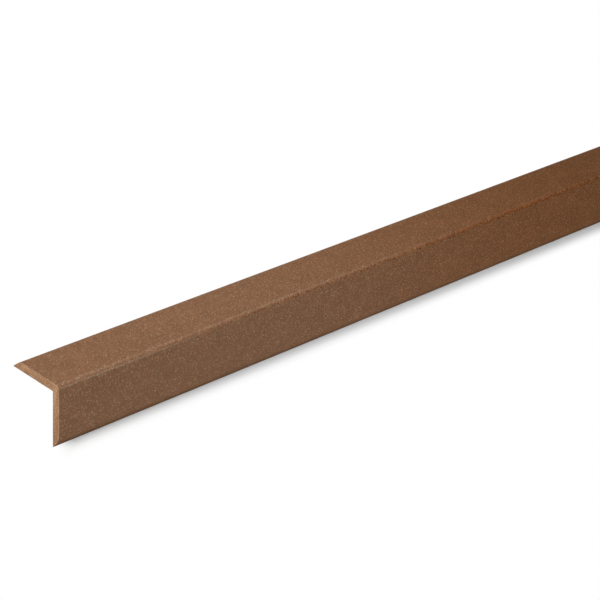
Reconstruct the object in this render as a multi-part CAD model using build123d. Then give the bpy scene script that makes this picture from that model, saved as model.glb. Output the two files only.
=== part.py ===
"""Composite angle trim: an equal-leg angle extruded in one piece, lying on its two leg tips, corner up."""

from build123d import *
import os
from math import radians, sin, tan

# Driving dimensions, in millimetres and degrees
LENGTH = 2000.0              # stock length between the two square saw cuts
LEG_WIDTH = 45.0             # outer face of a leg, from the sharp outer corner to the tip
THICKNESS = 6.0              # wall of both legs
CORNER_CHAMFER = 1.8         # flat along the outer corner, measured on each outer face
INNER_CORNER_RADIUS = 0.5    # fillet between the two inner faces
TIP_BEVEL_ANGLE = 40.0       # bevel of a leg's outer face down to its tip, from the plane of the leg
TIP_ROUND_RADIUS = 9.0       # soft arris between the outer face and that bevel
TIP_EDGE = 0.5               # blunt edge left at the tip, square to the inner face

# Sizes that follow from them
bevel_depth = THICKNESS - TIP_EDGE
bevel_run = bevel_depth / tan(radians(TIP_BEVEL_ANGLE))
bevel_start = LEG_WIDTH - bevel_run

# Lying corner up: two equal legs at a right angle share the slope, and both inner tip edges touch the floor
leg_slope = 90.0 / 2
corner_up_turn = leg_slope - 180.0
ridge_height = (LEG_WIDTH + THICKNESS) * sin(radians(leg_slope))


def angle_section():
    """Section in the legs' own axes: the sharp outer corner at the origin, the legs along +X and +Y."""
    outline = Polyline(
        (0, 0),
        (bevel_start, 0),
        (LEG_WIDTH, bevel_depth),
        (LEG_WIDTH, THICKNESS),
        (THICKNESS, THICKNESS),
        (THICKNESS, LEG_WIDTH),
        (bevel_depth, LEG_WIDTH),
        (0, bevel_start),
        close=True,
    )
    section = make_face(outline)
    section = fillet(corners_at(section, (bevel_start, 0), (0, bevel_start)), TIP_ROUND_RADIUS)
    section = fillet(corners_at(section, (THICKNESS, THICKNESS)), INNER_CORNER_RADIUS)
    return chamfer(corners_at(section, (0, 0)), CORNER_CHAMFER)


def corners_at(section, *places):
    """The vertices of a section that stand at the given places."""
    return [section.vertices().sort_by_distance(place)[0] for place in places]


def angle_trim():
    """The section turned corner up, stood on the floor and extruded along X, centred on the origin."""
    end_plane = Plane.YZ.offset(-LENGTH / 2)
    lying_section = end_plane * Pos(0, ridge_height) * Rot(0, 0, corner_up_turn) * angle_section()
    return extrude(lying_section, amount=LENGTH, dir=(1, 0, 0))


os.makedirs("parts", exist_ok=True)
export_step(angle_trim(), "parts/angle_trim.step")
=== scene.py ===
"""Looks of a composite angle trim: an extruded wood-plastic angle, sanded, one sawn end to the camera."""

from collections import namedtuple
from math import cos, pi, radians, sin, sqrt, tan

import bpy
from bpy.props import FloatProperty, FloatVectorProperty, IntProperty, PointerProperty
from mathutils import Matrix, Vector


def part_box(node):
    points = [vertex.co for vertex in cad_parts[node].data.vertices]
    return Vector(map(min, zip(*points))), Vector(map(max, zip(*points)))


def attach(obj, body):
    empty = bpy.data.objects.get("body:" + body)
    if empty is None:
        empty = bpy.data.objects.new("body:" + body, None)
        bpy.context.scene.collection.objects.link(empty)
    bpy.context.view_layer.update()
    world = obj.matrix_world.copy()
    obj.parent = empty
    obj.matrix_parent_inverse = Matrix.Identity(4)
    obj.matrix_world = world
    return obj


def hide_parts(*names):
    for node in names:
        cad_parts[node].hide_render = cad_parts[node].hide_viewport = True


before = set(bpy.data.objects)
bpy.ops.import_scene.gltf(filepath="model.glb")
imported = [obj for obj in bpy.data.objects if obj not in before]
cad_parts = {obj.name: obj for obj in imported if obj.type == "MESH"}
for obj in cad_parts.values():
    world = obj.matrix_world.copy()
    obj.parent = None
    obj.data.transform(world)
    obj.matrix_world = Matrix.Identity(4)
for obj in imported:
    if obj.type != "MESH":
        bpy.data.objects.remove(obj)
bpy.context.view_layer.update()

bl_info = {
    "name": "Composite Angle Trim",
    "version": (1, 0, 0),
    "blender": (4, 5, 0),
    "location": "View3D > Sidebar > Angle Trim",
    "description": "Builds a sanded wood-plastic angle trim and a plain stage for it",
    "category": "Object",
}

CAD_NODE = "angle_trim"
CAD_BODY = "root"

TRIM_LOW, TRIM_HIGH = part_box(CAD_NODE)
TRIM_LENGTH = TRIM_HIGH.x - TRIM_LOW.x
NEAR_END = TRIM_LOW.x
MM = 0.001
HALF_ROOT = sqrt(0.5)


# Settings that a user would change


class TrimSizes(bpy.types.PropertyGroup):
    """Section and mesh of the trim. The length and place come from the CAD frame."""

    leg_width: FloatProperty(
        name="Leg Width", description="Outer face of a leg, from the sharp outer corner to the tip",
        default=45 * MM, subtype="DISTANCE", unit="LENGTH")
    wall: FloatProperty(
        name="Wall", description="Thickness of both legs",
        default=6 * MM, subtype="DISTANCE", unit="LENGTH")
    corner_chamfer: FloatProperty(
        name="Corner Chamfer", description="Flat along the outer corner, measured on each outer face",
        default=1.8 * MM, subtype="DISTANCE", unit="LENGTH")
    inner_radius: FloatProperty(
        name="Inner Radius", description="Fillet between the two inner faces",
        default=0.5 * MM, subtype="DISTANCE", unit="LENGTH")
    tip_bevel_angle: FloatProperty(
        name="Tip Bevel", description="Bevel of the outer face down to the tip, from the leg's plane",
        default=radians(40), subtype="ANGLE", unit="ROTATION")
    tip_round: FloatProperty(
        name="Tip Round", description="Radius between the outer face and the tip bevel",
        default=9 * MM, subtype="DISTANCE", unit="LENGTH")
    tip_edge: FloatProperty(
        name="Tip Edge", description="Blunt edge at the tip",
        default=0.5 * MM, subtype="DISTANCE", unit="LENGTH")
    ring_step: FloatProperty(
        name="Ring Step", description="Distance between two rings of the mesh along the length",
        default=1.0 * MM, subtype="DISTANCE", unit="LENGTH")
    arris_wander: FloatProperty(
        name="Arris Wander", description="How far the sanded arrises stray from a straight line",
        default=1.1 * MM, subtype="DISTANCE", unit="LENGTH")
    arris_wave: FloatProperty(
        name="Arris Wave", description="Length of one wave of a stray arris",
        default=2.6 * MM, subtype="DISTANCE", unit="LENGTH")
    seed: IntProperty(name="Seed", description="Seed of the arris noise", default=7)


class TrimFinish(bpy.types.PropertyGroup):
    """Colours and grain of the composite."""

    skin_color: FloatVectorProperty(
        name="Skin", description="Sanded face of the composite, between its pale grains",
        default=(0.186, 0.0780, 0.0290), subtype="COLOR", size=3, min=0, max=1)
    # Darkened, this colour also paints the shade on the tip bevels.
    bare_color: FloatVectorProperty(
        name="Bare Skin", description="Extruded skin left on the chamfer, the tip bevels and the inside",
        default=(0.202, 0.0720, 0.0220), subtype="COLOR", size=3, min=0, max=1)
    pale_color: FloatVectorProperty(
        name="Pale Grain", description="Pale grains of wood flour in the sanded face",
        default=(0.50, 0.235, 0.130), subtype="COLOR", size=3, min=0, max=1)
    # Near the sawn ends the pale grains also carry painted sheen.
    dusty_sheen_color: FloatVectorProperty(
        name="Dusty Grain", description="Pale grains near the sawn ends, dulled by sawdust",
        default=(0.48, 0.335, 0.190), subtype="COLOR", size=3, min=0, max=1)
    fleck_color: FloatVectorProperty(
        name="Fleck", description="Wood flecks that stand out of the grain",
        default=(0.50, 0.34, 0.21), subtype="COLOR", size=3, min=0, max=1)
    # The dust near the sawn ends is partly painted sheen, a pale veil that stands in for light.
    dust_sheen_color: FloatVectorProperty(
        name="Dust", description="Sawdust on the skin near the sawn ends",
        default=(0.52, 0.45, 0.42), subtype="COLOR", size=3, min=0, max=1)
    # On the corner this colour paints sheen along the arrises.
    sheen_and_chalk_color: FloatVectorProperty(
        name="Chalk", description="Rubbed arrises of the corner and pale grains of the sawn end",
        default=(0.50, 0.40, 0.30), subtype="COLOR", size=3, min=0, max=1)
    cut_color: FloatVectorProperty(
        name="Sawn End", description="Sawn end of the trim",
        default=(0.345, 0.195, 0.105), subtype="COLOR", size=3, min=0, max=1)
    grain_size: FloatProperty(
        name="Grain Size", description="Width of one grain of wood flour",
        default=0.68 * MM, subtype="DISTANCE", unit="LENGTH")
    fleck_spacing: FloatProperty(
        name="Fleck Spacing", description="Distance between two wood flecks",
        default=2.4 * MM, subtype="DISTANCE", unit="LENGTH")
    # The dust's cover and reach are also those of the painted sheen.
    dust_sheen_cover: FloatProperty(
        name="Dust Cover", description="Share of the skin that sawdust covers next to a sawn end",
        default=0.055, min=0, max=1, subtype="FACTOR")
    dust_sheen_reach: FloatProperty(
        name="Dust Reach", description="Distance from a sawn end at which the dust is gone",
        default=490 * MM, subtype="DISTANCE", unit="LENGTH")


class StageSettings(bpy.types.PropertyGroup):
    """Camera and floor."""

    lens: FloatProperty(
        name="Lens", description="Focal length on a 36 mm sensor", default=118.321, unit="CAMERA")
    camera_place: FloatVectorProperty(
        name="Camera Place", description="Camera, measured from the floor below the near end's corner",
        default=(-0.62874, -0.15623, 1.02941), subtype="TRANSLATION", size=3)
    camera_heading: FloatProperty(
        name="Heading", description="View direction over the floor, turned from +Y towards +X",
        default=radians(79.5805), subtype="ANGLE", unit="ROTATION")
    camera_dip: FloatProperty(
        name="Dip", description="View direction below the horizon",
        default=radians(49.7945), subtype="ANGLE", unit="ROTATION")
    camera_roll: FloatProperty(
        name="Roll", description="Turn of the picture about the view direction",
        default=radians(55.0958), subtype="ANGLE", unit="ROTATION")
    floor_color: FloatVectorProperty(
        name="Floor", description="Plain pale floor",
        default=(0.905, 0.90, 0.875), subtype="COLOR", size=3, min=0, max=1)
    shadow_reach: FloatProperty(
        name="Shadow Reach", description="Distance from the trim at which the floor is white ground",
        default=10.6 * MM, subtype="DISTANCE", unit="LENGTH")
    ambient: FloatProperty(
        name="Ambient", description="Strength of the even light from all round", default=0.10, min=0)


# Small builders for node trees

# A value goes from before to after, eased, while what it follows goes from start to end
Fade = namedtuple("Fade", "start end before after", defaults=(0.0, 1.0))


class NodeBench:
    """Adds nodes to one tree and links them by socket name, with shorthand for the common ones."""

    def __init__(self, tree):
        self.tree = tree

    def add(self, kind, inputs=None, **settings):
        """A node of this kind with its settings, and its inputs set to values or linked to outputs."""
        node = self.tree.nodes.new(kind)
        for name, value in settings.items():
            setattr(node, name, value)
        for name, value in (inputs or {}).items():
            self.feed(node.inputs[name], value)
        return node

    def feed(self, socket, value):
        """Links an output to a socket, or sets the socket's own value."""
        if isinstance(value, bpy.types.NodeSocket):
            self.tree.links.new(value, socket)
        else:
            socket.default_value = value

    def math(self, operation, *values, clamp=False):
        """A number worked out from others."""
        node = self.add("ShaderNodeMath", dict(enumerate(values)), operation=operation, use_clamp=clamp)
        return node.outputs[0]

    def between(self, share, first, second):
        """A number that goes from the first to the second as the share goes from none to all."""
        return self.math("MULTIPLY_ADD", share, second - first, first)

    def ramp(self, value, fade):
        """What a fade gives for a value, held at both ends."""
        node = self.add("ShaderNodeMapRange",
                        {"Value": value, "From Min": fade.start, "From Max": fade.end,
                         "To Min": fade.before, "To Max": fade.after},
                        interpolation_type="SMOOTHSTEP")
        return node.outputs["Result"]

    def mix(self, factor, first, second):
        """The first colour, covered by the second as far as the factor says."""
        node = self.add("ShaderNodeMix", data_type="RGBA")
        self.feed(node.inputs[0], factor)
        self.feed(node.inputs[6], first)
        self.feed(node.inputs[7], second)
        return node.outputs[2]

    def times(self, vector, factor):
        """A place or a colour times a number."""
        return self.add("ShaderNodeVectorMath", {0: vector, "Scale": factor}, operation="SCALE").outputs[0]

    def noise(self, vector, scale, detail=2.0, roughness=0.5):
        """Noise in space."""
        node = self.add("ShaderNodeTexNoise", {"Vector": vector, "Scale": scale, "Detail": detail,
                                               "Roughness": roughness})
        return node.outputs["Fac"]

    def wave(self, along, scale, detail=2.0, roughness=0.5):
        """Noise along one line."""
        node = self.add("ShaderNodeTexNoise", {"W": along, "Scale": scale, "Detail": detail,
                                               "Roughness": roughness}, noise_dimensions="1D")
        return node.outputs["Fac"]


def opaque(color):
    """A colour with full alpha, as colour sockets take it."""
    return (*color, 1.0)


def scaled(color, shares):
    """A colour with each channel cut or raised to a share of its own."""
    return [value * share for value, share in zip(color, shares)]


# The trim's section

FACE_POINTS = (0.6, 2.0)       # extra points of an outer face, in millimetres from the chamfer
ROUND_STEPS, FILLET_STEPS = 7, 3


def leg_point(along, depth, side, ridge):
    """Place of a section point, from its distance along a leg and its depth below the outer face."""
    across = side * (along - depth) * HALF_ROOT
    return Vector((across, ridge - (along + depth) * HALF_ROOT))


def arc(centre, radius, start, end, steps):
    """Points of an arc between two angles, both ends included."""
    angles = [start + (end - start) * step / steps for step in range(steps + 1)]
    return [(centre[0] + radius * cos(angle), centre[1] + radius * sin(angle)) for angle in angles]


def half_section(sizes):
    """One leg from the middle of the chamfer round its tip to the inner corner, as along and depth."""
    chamfer, wall, leg = sizes.corner_chamfer, sizes.wall, sizes.leg_width
    turn = sizes.tip_bevel_angle
    bevel_depth = wall - sizes.tip_edge
    bevel_start = leg - bevel_depth / tan(turn)
    round_start = bevel_start - sizes.tip_round * tan(turn / 2)
    points = [(chamfer / 2, chamfer / 2), (chamfer, 0.0)]
    points += [(chamfer + step * MM, 0.0) for step in FACE_POINTS]
    points += arc((round_start, sizes.tip_round), sizes.tip_round, -pi / 2, turn - pi / 2, ROUND_STEPS)
    points += [(leg, bevel_depth), (leg, wall)]
    fillet = sizes.inner_radius
    corner = wall + fillet
    half_fillet = arc((corner, corner), fillet, -pi / 2, -3 * pi / 4, FILLET_STEPS)
    return points + half_fillet


def ridge_height(sizes):
    """Height of the sharp outer corner when the trim lies on its two tips."""
    return (sizes.leg_width + sizes.wall) * HALF_ROOT


def section_outline(sizes):
    """The closed section in the frame's Y and Z, run so that the swept faces point outwards."""
    ridge = ridge_height(sizes)
    half = half_section(sizes)
    right = [leg_point(along, depth, 1, ridge) for along, depth in half]
    left = [leg_point(along, depth, -1, ridge) for along, depth in half]
    return left + right[-2:0:-1]


def section_curve(sizes):
    """The section as a closed curve, whose X and Y the sweep lays along the frame's -Y and -Z."""
    outline = section_outline(sizes)
    curve = bpy.data.curves.new("trim_section", "CURVE")
    curve.dimensions = "3D"
    spline = curve.splines.new("POLY")
    spline.points.add(len(outline) - 1)
    for point, place in zip(spline.points, outline):
        point.co = (-place.x, -place.y, 0.0, 1.0)
    spline.use_cyclic_u = True
    holder = bpy.data.objects.new("trim_section", curve)
    bpy.context.scene.collection.objects.link(holder)
    return holder


# The trim's sweep

SWEEP_INPUTS = (
    ("Section", "NodeSocketGeometry"),
    ("Length", "NodeSocketFloat"),
    ("Ring Step", "NodeSocketFloat"),
    ("Ridge Height", "NodeSocketFloat"),
    ("Corner Chamfer", "NodeSocketFloat"),
    ("Arris Wander", "NodeSocketFloat"),
    ("Arris Wave", "NodeSocketFloat"),
    ("Seed", "NodeSocketInt"),
    ("Skin", "NodeSocketMaterial"),
    ("Sawn End", "NodeSocketMaterial"),
)

ARRIS_TOLERANCE = 0.05 * MM    # a point this near to an arris lies on it
CORNER_REACH = 1.5             # the corner's points lie this many chamfers below the ridge, or less
NOISE_ROW_STEP = 5.0           # keeps the strays of the two arrises apart
END_FACING = 0.9               # a face turned this far along X is a sawn end
SHARP_BEND = radians(20)       # an edge that bends more stays crisp


def sweep_tree():
    """Nodes that sweep the section along X, let the arrises stray and give skin and ends their finish."""
    tree = bpy.data.node_groups.new("Extruded angle", "GeometryNodeTree")
    for name, kind in SWEEP_INPUTS:
        tree.interface.new_socket(name=name, in_out="INPUT", socket_type=kind)
    tree.interface.new_socket(name="Trim", in_out="OUTPUT", socket_type="NodeSocketGeometry")
    bench = NodeBench(tree)
    given = bench.add("NodeGroupInput").outputs
    swept = swept_section(bench, given)
    strayed = stray_arrises(bench, given, swept)
    finished = finish_trim(bench, given, strayed)
    out = bench.add("NodeGroupOutput")
    bench.feed(out.inputs["Trim"], finished)
    return tree


def swept_section(bench, given):
    """The section carried along the length in even rings, with both ends closed."""
    half_length = bench.math("MULTIPLY", given["Length"], 0.5)
    start = bench.add("ShaderNodeCombineXYZ", {"X": bench.math("MULTIPLY", half_length, -1.0)})
    end = bench.add("ShaderNodeCombineXYZ", {"X": half_length})
    line = bench.add("GeometryNodeCurvePrimitiveLine", {"Start": start.outputs[0], "End": end.outputs[0]})
    path = bench.add("GeometryNodeResampleCurve",
                     {"Curve": line.outputs["Curve"], "Length": given["Ring Step"]}, mode="LENGTH")
    sweep = bench.add("GeometryNodeCurveToMesh", {"Curve": path.outputs["Curve"],
                                                  "Profile Curve": given["Section"], "Fill Caps": True})
    return sweep.outputs["Mesh"]


def stray_arrises(bench, given, mesh):
    """Lets the chamfer's two arrises stray by a fine noise, down the face or in over the flat."""
    place = bench.add("GeometryNodeInputPosition").outputs[0]
    split = bench.add("ShaderNodeSeparateXYZ", {"Vector": place})
    side = bench.math("SIGN", split.outputs["Y"])
    off_corner = bench.math("MULTIPLY", bench.math("ABSOLUTE", split.outputs["Y"]), sqrt(2))
    from_arris = bench.math("ABSOLUTE", bench.math("SUBTRACT", off_corner, given["Corner Chamfer"]))
    below_ridge = bench.math("SUBTRACT", given["Ridge Height"], split.outputs["Z"])
    reach = bench.math("MULTIPLY", given["Corner Chamfer"], CORNER_REACH)
    on_outside = bench.math("LESS_THAN", below_ridge, reach)
    on_arris = bench.math("MULTIPLY", bench.math("LESS_THAN", from_arris, ARRIS_TOLERANCE), on_outside)
    along = bench.math("DIVIDE", split.outputs["X"], given["Arris Wave"])
    row = bench.math("MULTIPLY_ADD", side, NOISE_ROW_STEP, given["Seed"])
    spot = bench.add("ShaderNodeCombineXYZ", {"X": along, "Y": row})
    noise = bench.noise(spot.outputs[0], 1.0, detail=3.0, roughness=0.6)
    amount = bench.math("MULTIPLY", bench.math("SUBTRACT", noise, 0.5), given["Arris Wander"])
    stray = bench.math("MULTIPLY", bench.math("MULTIPLY", amount, 2.0), on_arris)
    down_face = bench.math("MULTIPLY", bench.math("MAXIMUM", stray, 0.0), HALF_ROOT)
    across_flat = bench.math("MINIMUM", stray, 0.0)
    sideways = bench.math("MULTIPLY", bench.math("ADD", down_face, across_flat), side)
    downwards = bench.math("MULTIPLY", down_face, -1.0)
    offset = bench.add("ShaderNodeCombineXYZ", {"Y": sideways, "Z": downwards})
    moved = bench.add("GeometryNodeSetPosition", {"Geometry": mesh, "Offset": offset.outputs[0]})
    return moved.outputs["Geometry"]


def finish_trim(bench, given, mesh):
    """Crisp arrises, smooth rounds, and the skin's and the sawn ends' materials."""
    facing = bench.add("GeometryNodeInputNormal").outputs[0]
    along = bench.math("ABSOLUTE", bench.add("ShaderNodeSeparateXYZ", {"Vector": facing}).outputs["X"])
    is_end = bench.add("FunctionNodeCompare", {"A": along, "B": END_FACING}, data_type="FLOAT",
                       operation="GREATER_THAN")
    is_side = bench.add("FunctionNodeBooleanMath", {0: is_end.outputs["Result"]}, operation="NOT")
    bend = bench.add("GeometryNodeInputMeshEdgeAngle").outputs["Unsigned Angle"]
    is_sharp = bench.add("FunctionNodeCompare", {"A": bend, "B": SHARP_BEND}, data_type="FLOAT",
                         operation="GREATER_THAN")
    smooth = bench.add("GeometryNodeSetShadeSmooth",
                       {"Geometry": mesh, "Shade Smooth": is_side.outputs[0]})
    creased = bench.add("GeometryNodeStoreNamedAttribute",
                        {"Geometry": smooth.outputs["Geometry"], "Name": "sharp_edge"},
                        data_type="BOOLEAN", domain="EDGE")
    bench.feed(creased.inputs["Value"], is_sharp.outputs["Result"])
    real = bench.add("GeometryNodeRealizeInstances", {"Geometry": creased.outputs["Geometry"]})
    skinned = bench.add("GeometryNodeSetMaterial",
                        {"Geometry": real.outputs["Geometry"], "Material": given["Skin"]})
    sawn = bench.add("GeometryNodeSetMaterial", {"Geometry": skinned.outputs["Geometry"],
                                                 "Selection": is_end.outputs["Result"],
                                                 "Material": given["Sawn End"]})
    return sawn.outputs["Geometry"]


def baked_mesh(holder, tree, values):
    """The plain mesh that a node tree makes of an object, with the tree's inputs given by name."""
    modifier = holder.modifiers.new("sweep", "NODES")
    modifier.node_group = tree
    for item in tree.interface.items_tree:
        if item.name in values:
            modifier[item.identifier] = values[item.name]
    graph = bpy.context.evaluated_depsgraph_get()
    mesh = bpy.data.meshes.new_from_object(holder.evaluated_get(graph), preserve_all_data_layers=True,
                                           depsgraph=graph)
    bpy.data.objects.remove(holder)
    return mesh


# Grain that both finishes share

# Radii are shares of the space between two grains or flecks, and each grain's lots run from 0 to 1
GRAIN_RADII = Fade(0.0, 1.0, 0.35, 0.75)
FLECK_RADII = Fade(0.0, 1.0, 0.05, 0.30)
PALE_LOTS = Fade(0.45, 1.0)
DARK_LOTS = Fade(0.45, 0.0)
SPOT_GAIN = 2.0           # firmness of a spot's edge
STRAY_REACH = 0.9         # reach of the stray that makes grains uneven, in grains
STRAY_FINENESS = 1.6      # waves of that stray in one grain
MOTTLE_PER_MM = 0.08      # waves of the broad mottling in a millimetre


def object_place(bench):
    """Object coordinates in millimetres."""
    coordinates = bench.add("ShaderNodeTexCoord").outputs["Object"]
    return bench.times(coordinates, 1 / MM)


def grain_group():
    """Shared wood-flour pattern: tone of the grain, pale and dark grains, a lot, flecks and mottling."""
    group = bpy.data.node_groups.new("Wood flour", "ShaderNodeTree")
    for name, kind in (("Place", "NodeSocketVector"), ("Grain Size", "NodeSocketFloat"),
                       ("Fleck Spacing", "NodeSocketFloat")):
        group.interface.new_socket(name=name, in_out="INPUT", socket_type=kind)
    for name in ("Grain", "Pale", "Dark", "Lot", "Fleck", "Mottle"):
        group.interface.new_socket(name=name, in_out="OUTPUT", socket_type="NodeSocketFloat")
    bench = NodeBench(group)
    given = bench.add("NodeGroupInput").outputs
    out = bench.add("NodeGroupOutput").inputs
    place = given["Place"]
    fineness = bench.math("DIVIDE", 1.0, given["Grain Size"])
    bench.feed(out["Grain"], bench.noise(place, fineness, detail=2.0, roughness=0.6))
    uneven = strayed_place(bench, place, fineness, given["Grain Size"])
    grains, lots = spots(bench, uneven, fineness, GRAIN_RADII)
    bench.feed(out["Pale"], bench.math("MULTIPLY", grains, bench.ramp(lots["Green"], PALE_LOTS)))
    bench.feed(out["Dark"], bench.math("MULTIPLY", grains, bench.ramp(lots["Green"], DARK_LOTS)))
    bench.feed(out["Lot"], lots["Blue"])
    closeness = bench.math("DIVIDE", 1.0, given["Fleck Spacing"])
    flecks, fleck_lots = spots(bench, place, closeness, FLECK_RADII)
    bench.feed(out["Fleck"], bench.math("MULTIPLY", flecks, bench.ramp(fleck_lots["Green"], PALE_LOTS)))
    bench.feed(out["Mottle"], bench.noise(place, MOTTLE_PER_MM, detail=1.0))
    return group


def strayed_place(bench, place, fineness, grain_size):
    """A place moved by up to about half a grain, so that the grains are no neat circles."""
    waves = bench.math("MULTIPLY", fineness, STRAY_FINENESS)
    stray = bench.add("ShaderNodeTexNoise", {"Vector": place, "Scale": waves, "Detail": 1.0})
    centred = bench.add("ShaderNodeVectorMath", {0: stray.outputs["Color"], 1: (0.5, 0.5, 0.5)},
                        operation="SUBTRACT")
    offset = bench.times(centred.outputs[0], bench.math("MULTIPLY", grain_size, STRAY_REACH))
    return bench.add("ShaderNodeVectorMath", {0: place, 1: offset}, operation="ADD").outputs[0]


def spots(bench, place, closeness, radii):
    """Round spots of uneven size at scattered points, and the random values of each point."""
    cells = bench.add("ShaderNodeTexVoronoi", {"Vector": place, "Scale": closeness})
    lots = bench.add("ShaderNodeSeparateColor", {"Color": cells.outputs["Color"]}).outputs
    radius = bench.ramp(lots["Red"], radii)
    from_rim = bench.math("SUBTRACT", radius, cells.outputs["Distance"])
    inside = bench.math("DIVIDE", from_rim, radius, clamp=True)
    return bench.math("MULTIPLY", inside, SPOT_GAIN, clamp=True), lots


def flour_node(bench, grain, place, grain_size, fleck_spacing):
    """One use of the shared pattern, sized in metres."""
    node = bench.add("ShaderNodeGroup", node_tree=grain)
    bench.feed(node.inputs["Place"], place)
    bench.feed(node.inputs["Grain Size"], grain_size / MM)
    bench.feed(node.inputs["Fleck Spacing"], fleck_spacing / MM)
    return node.outputs


FAINT_SHEEN = 0.03


def new_finish(name):
    """A material, the bench for its nodes and its shader, which has only a faint sheen."""
    material = bpy.data.materials.new(name)
    material.use_nodes = True
    shader = material.node_tree.nodes["Principled BSDF"]
    shader.inputs["Specular IOR Level"].default_value = FAINT_SHEEN
    return material, NodeBench(material.node_tree), shader


def add_relief(bench, shader, flour, strength, distance):
    """Fine bumps that follow the grain."""
    relief = bench.add("ShaderNodeBump",
                       {"Height": flour["Grain"], "Strength": strength, "Distance": distance})
    bench.feed(shader.inputs["Normal"], relief.outputs[0])


def leg_place(bench, split, sizes):
    """Distance along a leg from the sharp corner, and depth below its outer face, in millimetres."""
    below_ridge = bench.math("SUBTRACT", ridge_height(sizes) / MM, split["Z"])
    off_middle = bench.math("ABSOLUTE", split["Y"])
    along = bench.math("MULTIPLY", bench.math("ADD", below_ridge, off_middle), HALF_ROOT)
    depth = bench.math("MULTIPLY", bench.math("SUBTRACT", below_ridge, off_middle), HALF_ROOT)
    return along, depth


# The sanded skin

# Contrast of the grain and cover of its pale grains, away from the ends and near them, where dust and
# painted sheen lie
CLEAN_CONTRAST, DUSTY_SHEEN_CONTRAST = 2.1, 0.9
CLEAN_PALENESS, DUSTY_SHEEN_PALENESS = 0.63, 0.65
DUST_SHEEN_CORE = 0.27                            # share of the reach of dust and painted sheen over which both stay full
MOTTLE_TONE = Fade(0.25, 0.75, -0.06, 0.06)
DARK_TONE = -0.30                           # what a dark grain adds to the tone
COOL_SHARES, WARM_SHARES = (0.91, 1.0, 1.14), (1.09, 1.0, 0.86)
FLECK_COVER = 0.4

# Painted light where a leg starts to round and painted shade on its tip bevel, by millimetres from the tip,
# and bare skin above its inner face and past the inner corner
TIP_LIGHT = Fade(11.0, 7.5, 1.0, 1.03)
TIP_SHADE = Fade(7.8, 0.5, 0.0, 0.98)
TIP_SHADE_SHARES = (0.52, 0.60, 0.40)
INNER_FACE = Fade(0.5, 0.2)
INNER_CORNER = Fade(-1.0, 0.0)

# The lines that the die has drawn along the inner faces
DIE_LINES_PER_MM = 1.2
DIE_LINE_TONE = Fade(0.25, 0.75, 0.80, 1.05)
DIE_LEG_STEP = 100.0                        # keeps the lines of the two legs apart

SANDED_ROUGHNESS = Fade(0.25, 0.75, 0.62, 0.82)
UNSANDED_CHANGE = -0.15                     # what the inner faces add to that roughness


def composite_skin(finish, sizes, grain):
    """Sanded faces with dust and painted sheen near the ends, extruded skin on the corner and inside,
    painted light and shade at the tips.
    """
    material, bench, shader = new_finish("sanded_composite")
    place = object_place(bench)
    split = bench.add("ShaderNodeSeparateXYZ", {"Vector": place}).outputs
    flour = flour_node(bench, grain, place, finish.grain_size, finish.fleck_spacing)
    from_end = bench.math("SUBTRACT", TRIM_LENGTH / 2 / MM, bench.math("ABSOLUTE", split["X"]))
    reach = finish.dust_sheen_reach / MM
    dust_sheen_nearness = bench.ramp(from_end, Fade(DUST_SHEEN_CORE * reach, reach, 1.0, 0.0))
    sanded = sanded_color(bench, flour, dust_sheen_nearness, finish)
    # Dust and painted sheen: a pale veil that fades away from the sawn ends.
    dust = bench.math("MULTIPLY", dust_sheen_nearness, finish.dust_sheen_cover)
    dusted_sheened = bench.mix(dust, sanded, opaque(finish.dust_sheen_color))
    along, depth = leg_place(bench, split, sizes)
    tip_lit_and_shaded = tip_light_and_shade(bench, along, dusted_sheened, finish, sizes)
    unsanded = inside_mask(bench, along, depth, sizes)
    faced = bench.mix(unsanded, tip_lit_and_shaded, extruded_color(bench, along, split["Y"], finish))
    cornered = corner_color(bench, flour, split, from_end, faced, finish, sizes)
    bench.feed(shader.inputs["Base Color"], cornered)
    sanded_matt = bench.ramp(flour["Grain"], SANDED_ROUGHNESS)
    roughness = bench.math("MULTIPLY_ADD", unsanded, UNSANDED_CHANGE, sanded_matt)
    bench.feed(shader.inputs["Roughness"], roughness)
    add_relief(bench, shader, flour, strength=0.2, distance=0.06 * MM)
    return material


def sanded_color(bench, flour, dust_sheen_nearness, finish):
    """Mottled brown ground with dark grains, pale grains that dust and painted sheen dull, and stray
    flecks.
    """
    contrast = bench.between(dust_sheen_nearness, CLEAN_CONTRAST, DUSTY_SHEEN_CONTRAST)
    grain = bench.math("MULTIPLY_ADD", bench.math("SUBTRACT", flour["Grain"], 0.5), contrast, 1.0)
    mottled = bench.math("ADD", grain, bench.ramp(flour["Mottle"], MOTTLE_TONE))
    tone = bench.math("MULTIPLY_ADD", flour["Dark"], DARK_TONE, mottled)
    hue = bench.mix(flour["Lot"], opaque(scaled(finish.skin_color, COOL_SHARES)),
                    opaque(scaled(finish.skin_color, WARM_SHARES)))
    ground = bench.times(hue, tone)
    paleness = bench.between(dust_sheen_nearness, CLEAN_PALENESS, DUSTY_SHEEN_PALENESS)
    pale = bench.mix(dust_sheen_nearness, opaque(finish.pale_color), opaque(finish.dusty_sheen_color))
    paled = bench.mix(bench.math("MULTIPLY", flour["Pale"], paleness), ground, pale)
    flecked = bench.math("MULTIPLY", flour["Fleck"], FLECK_COVER)
    return bench.mix(flecked, paled, opaque(finish.fleck_color))


def tip_light_and_shade(bench, along, sanded, finish, sizes):
    """The sanded face, with painted light where it starts to round and painted shade, in a dark skin
    colour, on the bevel.
    """
    from_tip = bench.math("SUBTRACT", sizes.leg_width / MM, along)
    lit_round = bench.times(sanded, bench.ramp(from_tip, TIP_LIGHT))
    return bench.mix(bench.ramp(from_tip, TIP_SHADE), lit_round, opaque(scaled(finish.bare_color, TIP_SHADE_SHARES)))


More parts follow.
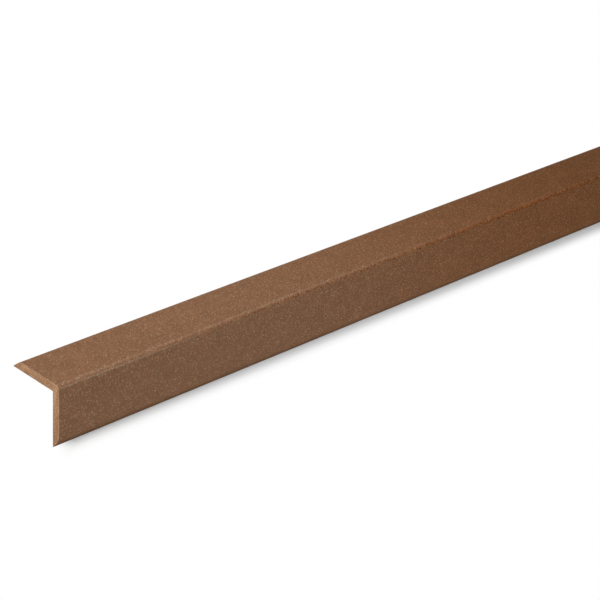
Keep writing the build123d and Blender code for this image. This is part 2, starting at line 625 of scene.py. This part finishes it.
def inside_mask(bench, along, depth, sizes):
    """One on the inner faces, which sanding does not reach."""
    wall = sizes.wall / MM
    above_inner_face = bench.math("SUBTRACT", wall, depth)
    past_inner_corner = bench.math("SUBTRACT", along, wall)
    return bench.math("MULTIPLY", bench.ramp(above_inner_face, INNER_FACE),
                      bench.ramp(past_inner_corner, INNER_CORNER))


def extruded_color(bench, along, side, finish):
    """Smooth extruded skin with faint lines that the die has drawn along the length."""
    row = bench.math("MULTIPLY_ADD", bench.math("SIGN", side), DIE_LEG_STEP, along)
    lines = bench.wave(row, DIE_LINES_PER_MM, detail=3.0, roughness=0.7)
    return bench.times(finish.bare_color, bench.ramp(lines, DIE_LINE_TONE))


# The corner's lines

# A line along the corner: its place across the flat, -1 at the front arris and +1 at the back one, how it
# fades away from there, and how much it covers at so many millimetres from a sawn end
CornerLine = namedtuple("CornerLine", "place width cover")
# The first and the last of these lines paint sheen on the arrises, strongest near the sawn ends; the middle
# one paints shade along the front arris.
BACK_SHEEN_LINE = CornerLine(0.95, Fade(0.8, 0.3), Fade(180.0, 420.0, 0.19, 0.06))
SHADE_LINE = CornerLine(-0.65, Fade(0.55, 0.25), Fade(20.0, 250.0, 0.14, 0.76))
FRONT_SHEEN_LINE = CornerLine(-1.15, Fade(0.5, 0.2), Fade(30.0, 150.0, 0.26, 0.02))

# The bare red strip under them: its two edges across the flat, its cover by the distance from a sawn end
# and its tone, which changes from notch to notch
STRIP_BACK, STRIP_FRONT = Fade(1.5, 1.0), Fade(-1.3, -1.0)
STRIP_COVER = Fade(200.0, 460.0, 0.05, 0.85)
STRIP_TONE = Fade(0.0, 1.0, 0.74, 1.36)

# Teeth of the lines: how many there are in a millimetre, and how ragged they get away from the ends
NOTCHES_PER_MM, DASHES_PER_MM, WAVES_PER_MM = 0.85, 0.95, 0.3
TOOTH_DEPTH = 1.2
RAGGED = Fade(100.0, 400.0, 0.30, 1.1)

# Pale grains that speckle the painted sheen on the back arris, dashes of the painted shade, which join up
# far from the ends, and breaks of the painted sheen on the front arris
BACK_SHEEN_GROUND, BACK_SHEEN_SPECKLE = 0.4, 2.2
DASH_COVER = Fade(0.30, 0.65, 0.10, 1.15)
DASHES_JOIN = Fade(280.0, 460.0, 0.0, 0.9)
FRONT_SHEEN_BREAKS = Fade(0.0, 0.8, 0.35, 1.2)
SHADE_SHARES, FRONT_SHEEN_SHARES = (0.58, 0.44, 0.32), (0.84, 0.96, 0.92)


def corner_color(bench, flour, split, from_end, faced, finish, sizes):
    """The corner's flat: bare red skin away from the ends, under painted sheen on both arrises and a line
    of painted shade.
    """
    dashes = line_lots(bench, split["X"], DASHES_PER_MM)
    notches = line_lots(bench, split["X"], NOTCHES_PER_MM)
    across = toothed_place(bench, split, notches, from_end, sizes)
    strip = bench.math("MULTIPLY", bench.ramp(across, STRIP_BACK), bench.ramp(across, STRIP_FRONT))
    bared = bench.math("MULTIPLY", strip, bench.ramp(from_end, STRIP_COVER))
    bare = bench.times(finish.bare_color, bench.ramp(notches["Blue"], STRIP_TONE))
    stripped = bench.mix(bared, faced, bare)
    speckle = bench.math("MULTIPLY_ADD", flour["Pale"], BACK_SHEEN_SPECKLE, BACK_SHEEN_GROUND)
    back_sheen = bench.math("MULTIPLY", line_cover(bench, BACK_SHEEN_LINE, across, from_end), speckle)
    edged = bench.mix(back_sheen, stripped, opaque(finish.sheen_and_chalk_color))
    unbroken = bench.math("MAXIMUM", bench.ramp(dashes["Green"], DASH_COVER),
                          bench.ramp(from_end, DASHES_JOIN))
    shade = bench.math("MULTIPLY", line_cover(bench, SHADE_LINE, across, from_end), unbroken)
    darkened = bench.mix(shade, edged, opaque(scaled(finish.bare_color, SHADE_SHARES)))
    breaks = bench.ramp(dashes["Green"], FRONT_SHEEN_BREAKS)
    front_sheen = bench.math("MULTIPLY", line_cover(bench, FRONT_SHEEN_LINE, across, from_end), breaks)
    return bench.mix(front_sheen, darkened, opaque(scaled(finish.sheen_and_chalk_color, FRONT_SHEEN_SHARES)))


def toothed_place(bench, split, notches, from_end, sizes):
    """Place across the corner's flat, -1 at its front arris and +1 at its back one, moved by the teeth."""
    half_flat = sizes.corner_chamfer * HALF_ROOT / MM
    waves = bench.math("SUBTRACT", bench.wave(split["X"], WAVES_PER_MM, roughness=0.8), 0.5)
    teeth = bench.math("MULTIPLY_ADD", bench.math("SUBTRACT", notches["Red"], 0.5), TOOTH_DEPTH, waves)
    straight = bench.math("DIVIDE", split["Y"], half_flat)
    return bench.math("MULTIPLY_ADD", teeth, bench.ramp(from_end, RAGGED), straight)


def line_cover(bench, line, across, from_end):
    """How much a line of the corner covers at a place across it and a distance from a sawn end."""
    off_line = bench.math("ABSOLUTE", bench.math("SUBTRACT", across, line.place))
    return bench.math("MULTIPLY", bench.ramp(off_line, line.width), bench.ramp(from_end, line.cover))


def line_lots(bench, along, closeness):
    """Random values that change by steps along a line."""
    steps = bench.add("ShaderNodeTexVoronoi", {"W": along, "Scale": closeness}, voronoi_dimensions="1D")
    return bench.add("ShaderNodeSeparateColor", {"Color": steps.outputs["Color"]}).outputs


# The sawn end

SAWN_GRAIN = 1.3                               # grain of the cut, in grains of the skin
SAWN_TONE = Fade(0.2, 0.8, 0.58, 1.46)
SAWN_PALENESS = 0.40
SAWN_RIM = Fade(0.9, 0.3, 0.0, 0.07)           # paler under the outer face, by millimetres of depth
SAWN_ROUGHNESS = Fade(0.25, 0.75, 0.75, 0.95)

# Veins to a millimetre along a leg and through its wall, and where each leg's veins lie in the noise
VEINS_ALONG, VEINS_THROUGH = 0.16, 0.34
FRONT_VEINS, BACK_VEINS = 39.75, 53.0
VEINS = Fade(0.38, 0.68)
VEIN_COVER = 0.8
VEIN_SHARES = (0.74, 0.64, 0.56)
PATCHES_PER_VEIN = 0.35
PATCH_TONE = Fade(0.3, 0.7, 0.90, 1.10)


def sawn_end(finish, sizes, grain):
    """Sawn end of the composite: paler, with a coarser grain and faint veins that follow the legs."""
    material, bench, shader = new_finish("sawn_composite")
    place = object_place(bench)
    flour = flour_node(bench, grain, place, SAWN_GRAIN * finish.grain_size, finish.fleck_spacing)
    split = bench.add("ShaderNodeSeparateXYZ", {"Vector": place}).outputs
    along, depth = leg_place(bench, split, sizes)
    flow = vein_place(bench, split, along, depth)
    veins = bench.ramp(bench.noise(flow, 1.0, detail=3.0), VEINS)
    patches = bench.ramp(bench.noise(flow, PATCHES_PER_VEIN, detail=0.0), PATCH_TONE)
    tone = bench.math("MULTIPLY", patches, bench.ramp(flour["Grain"], SAWN_TONE))
    ground = bench.times(finish.cut_color, tone)
    vein_color = opaque(scaled(finish.cut_color, VEIN_SHARES))
    veined = bench.mix(bench.math("MULTIPLY", veins, VEIN_COVER), ground, vein_color)
    paleness = bench.math("MULTIPLY_ADD", flour["Pale"], SAWN_PALENESS, bench.ramp(depth, SAWN_RIM))
    paled = bench.mix(paleness, veined, opaque(finish.sheen_and_chalk_color))
    bench.feed(shader.inputs["Base Color"], paled)
    bench.feed(shader.inputs["Roughness"], bench.ramp(flour["Grain"], SAWN_ROUGHNESS))
    add_relief(bench, shader, flour, strength=0.3, distance=0.1 * MM)
    return material


def vein_place(bench, split, along, depth):
    """Place in the veins' noise, drawn out along the legs, with a part of the noise for each leg."""
    half_step, middle = (BACK_VEINS - FRONT_VEINS) / 2, (BACK_VEINS + FRONT_VEINS) / 2
    leg = bench.math("MULTIPLY_ADD", bench.math("SIGN", split["Y"]), half_step, middle)
    drawn_out = bench.math("MULTIPLY", along, VEINS_ALONG)
    through = bench.math("MULTIPLY", depth, VEINS_THROUGH)
    return bench.add("ShaderNodeCombineXYZ", {"X": drawn_out, "Y": through, "Z": leg}).outputs[0]


# Stage

Lamp = namedtuple("Lamp", "name place aim width height power color", defaults=((1.0, 1.0, 1.0),))

# Softboxes, placed from the floor below the corner of the near end, in metres, with their power in watts
LAMPS = (
    Lamp("end_softbox", (-0.62, 0.18, 0.58), (0.0, 0.0, 0.0), 0.35, 0.35, 6.5),
    Lamp("back_softbox", (0.20, 0.34, 0.40), (0.20, 0.0, 0.0), 0.25, 0.25, 1.27),
    Lamp("front_softbox", (0.27, -0.50, 0.50), (0.27, 0.0, 0.0), 0.45, 0.35, 2.0, (1.0, 1.05, 1.15)),
    Lamp("middle_softbox", (1.25, 0.15, 0.60), (1.25, 0.0, 0.0), 0.40, 0.40, 0.90),
    Lamp("low_softbox", (1.55, -0.40, 0.45), (1.55, 0.0, 0.0), 0.70, 0.25, 0.50),
    Lamp("far_softbox", (2.40, 0.12, 0.50), (1.85, 0.0, 0.0), 0.40, 0.40, 4.0),
)

# The floor's white ground, in millimetres: where it starts to grow in front of the trim and its share up to
# there, how it closes off the shadow at the ends, and how far in it reaches through the trim's two mouths
SHADOW_START, SHADOW_WHITE = 2.4, 0.09
SHADOW_END = Fade(-19.5, -0.5)
MOUTH = Fade(-45.0, -25.0)
TIP_LAP = 0.3                  # the white's edges lie this far in under the tips
FLOOR_REACH = 30.0             # metres from the middle to each side of the floor


def softbox(lamp):
    """A rectangular lamp that faces the place it aims at."""
    light = bpy.data.lights.new(lamp.name, "AREA")
    light.shape = "RECTANGLE"
    light.size, light.size_y = lamp.width, lamp.height
    light.energy = lamp.power
    light.color = lamp.color
    holder = bpy.data.objects.new(lamp.name, light)
    near_end = Vector((NEAR_END, 0.0, 0.0))
    place, aim = near_end + Vector(lamp.place), near_end + Vector(lamp.aim)
    holder.location = place
    holder.rotation_euler = (aim - place).to_track_quat("-Z", "Y").to_euler()
    bpy.context.scene.collection.objects.link(holder)


def seen_directly(bench):
    """One for rays from the camera, a reflection or clear glass, so that each sees the white ground."""
    path = bench.add("ShaderNodeLightPath").outputs
    seen = bench.math("MAXIMUM", path["Is Camera Ray"], path["Is Glossy Ray"])
    return bench.math("MAXIMUM", seen, path["Is Transmission Ray"])


def white_share(bench, settings):
    """How much of the floor reads as white ground: all but the front shadow and the trim's inside."""
    place = object_place(bench)
    split = bench.add("ShaderNodeSeparateXYZ", {"Vector": place}).outputs
    in_front = bench.math("SUBTRACT", bench.math("MULTIPLY", split["Y"], -1.0), TRIM_HIGH.y / MM)
    past_end = bench.math("SUBTRACT", bench.math("ABSOLUTE", split["X"]), TRIM_HIGH.x / MM)
    edge = bench.ramp(in_front, Fade(SHADOW_START, settings.shadow_reach / MM, SHADOW_WHITE, 1.0))
    past_shadow = bench.math("MAXIMUM", edge, bench.ramp(past_end, SHADOW_END))
    behind_foot = bench.math("LESS_THAN", in_front, -TIP_LAP)
    behind_trim = bench.math("GREATER_THAN", split["Y"], TRIM_HIGH.y / MM - TIP_LAP)
    opened = bench.math("MAXIMUM", bench.ramp(past_end, MOUTH), behind_trim)
    return bench.math("MAXIMUM", past_shadow, bench.math("MULTIPLY", behind_foot, opened))


def pale_floor(settings):
    """A plain floor that keeps the trim's soft shadow and reads as a white ground beyond it."""
    material = bpy.data.materials.new("pale_floor")
    material.use_nodes = True
    material.node_tree.nodes.clear()
    bench = NodeBench(material.node_tree)
    matt = bench.add("ShaderNodeBsdfDiffuse", {"Color": opaque(settings.floor_color)})
    glow = bench.add("ShaderNodeEmission", {"Color": (1, 1, 1, 1), "Strength": 1.0})
    share = bench.math("MULTIPLY", seen_directly(bench), white_share(bench, settings))
    both = bench.add("ShaderNodeMixShader", {0: share, 1: matt.outputs[0], 2: glow.outputs[0]})
    bench.add("ShaderNodeOutputMaterial", {"Surface": both.outputs[0]})
    mesh = bpy.data.meshes.new("floor")
    corners = [(x * FLOOR_REACH, y * FLOOR_REACH, 0) for x, y in ((-1, -1), (1, -1), (1, 1), (-1, 1))]
    mesh.from_pydata(corners, [], [(0, 1, 2, 3)])
    mesh.materials.append(material)
    floor = bpy.data.objects.new("floor", mesh)
    bpy.context.scene.collection.objects.link(floor)


def white_world(settings):
    """Even light from all round, seen as white behind the object."""
    world = bpy.data.worlds.new("studio")
    world.use_nodes = True
    bpy.context.scene.world = world
    bench = NodeBench(world.node_tree)
    background = world.node_tree.nodes["Background"]
    background.inputs["Color"].default_value = (1, 1, 1, 1)
    strength = bench.add("ShaderNodeMapRange", {"Value": seen_directly(bench), "To Min": settings.ambient,
                                                "To Max": 1.0})
    bench.feed(background.inputs["Strength"], strength.outputs["Result"])


def photo_camera(settings):
    """The camera at the photograph's viewing angle."""
    data = bpy.data.cameras.new("photo_camera")
    data.lens = settings.lens
    data.sensor_width = 36.0
    data.clip_start, data.clip_end = 0.05, 100.0
    holder = bpy.data.objects.new("photo_camera", data)
    heading, dip = settings.camera_heading, settings.camera_dip
    forward = Vector((sin(heading) * cos(dip), cos(heading) * cos(dip), -sin(dip)))
    level = forward.to_track_quat("-Z", "Y").to_matrix()
    turned = Matrix.Rotation(settings.camera_roll, 3, -forward) @ level
    place = Vector((NEAR_END, 0.0, 0.0)) + Vector(settings.camera_place)
    holder.matrix_world = Matrix.Translation(place) @ turned.to_4x4()
    bpy.context.scene.collection.objects.link(holder)
    bpy.context.scene.camera = holder


# Operators, panel and registration


class TRIM_OT_angle_trim(bpy.types.Operator):
    """Sweep the angle, finish its skin and sawn ends and stand it for the CAD solid"""

    bl_idname = "angle_trim.build_trim"
    bl_label = "Build Angle Trim"

    def execute(self, context):
        sizes, finish = context.scene.trim_sizes, context.scene.trim_finish
        grain = grain_group()
        values = {"Length": TRIM_LENGTH, "Ring Step": sizes.ring_step, "Ridge Height": ridge_height(sizes),
                  "Corner Chamfer": sizes.corner_chamfer, "Arris Wander": sizes.arris_wander,
                  "Arris Wave": sizes.arris_wave, "Seed": sizes.seed,
                  "Skin": composite_skin(finish, sizes, grain), "Sawn End": sawn_end(finish, sizes, grain)}
        mesh = baked_mesh(section_curve(sizes), sweep_tree(), values)
        mesh.name = "composite_angle"
        trim = bpy.data.objects.new("composite_angle", mesh)
        context.scene.collection.objects.link(trim)
        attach(trim, CAD_BODY)
        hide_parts(CAD_NODE)
        return {"FINISHED"}


class TRIM_OT_stage(bpy.types.Operator):
    """Lay the pale floor, hang the softboxes and set the camera"""

    bl_idname = "angle_trim.build_stage"
    bl_label = "Build Stage"

    def execute(self, context):
        settings = context.scene.trim_stage
        context.scene.view_settings.view_transform = "Standard"
        pale_floor(settings)
        white_world(settings)
        for lamp in LAMPS:
            softbox(lamp)
        photo_camera(settings)
        return {"FINISHED"}


class TRIM_PT_panel(bpy.types.Panel):
    """Sidebar panel with the trim's operators and settings"""

    bl_idname = "TRIM_PT_panel"
    bl_label = "Angle Trim"
    bl_space_type = "VIEW_3D"
    bl_region_type = "UI"
    bl_category = "Angle Trim"

    def draw(self, context):
        scene = context.scene
        for operator in (TRIM_OT_angle_trim, TRIM_OT_stage):
            self.layout.operator(operator.bl_idname)
        for group in (scene.trim_sizes, scene.trim_finish, scene.trim_stage):
            box = self.layout.box()
            for name in group.bl_rna.properties.keys():
                if name not in {"rna_type", "name"}:
                    box.prop(group, name)


CLASSES = (TrimSizes, TrimFinish, StageSettings, TRIM_OT_angle_trim, TRIM_OT_stage, TRIM_PT_panel)
SETTINGS = {"trim_sizes": TrimSizes, "trim_finish": TrimFinish, "trim_stage": StageSettings}


def register():
    for item in CLASSES:
        bpy.utils.register_class(item)
    for name, group in SETTINGS.items():
        setattr(bpy.types.Scene, name, PointerProperty(type=group))


def unregister():
    for name in SETTINGS:
        delattr(bpy.types.Scene, name)
    for item in reversed(CLASSES):
        bpy.utils.unregister_class(item)


def main():
    """Builds the trim and its stage."""
    register()
    bpy.ops.angle_trim.build_trim()
    bpy.ops.angle_trim.build_stage()


if __name__ == "__main__":
    main()
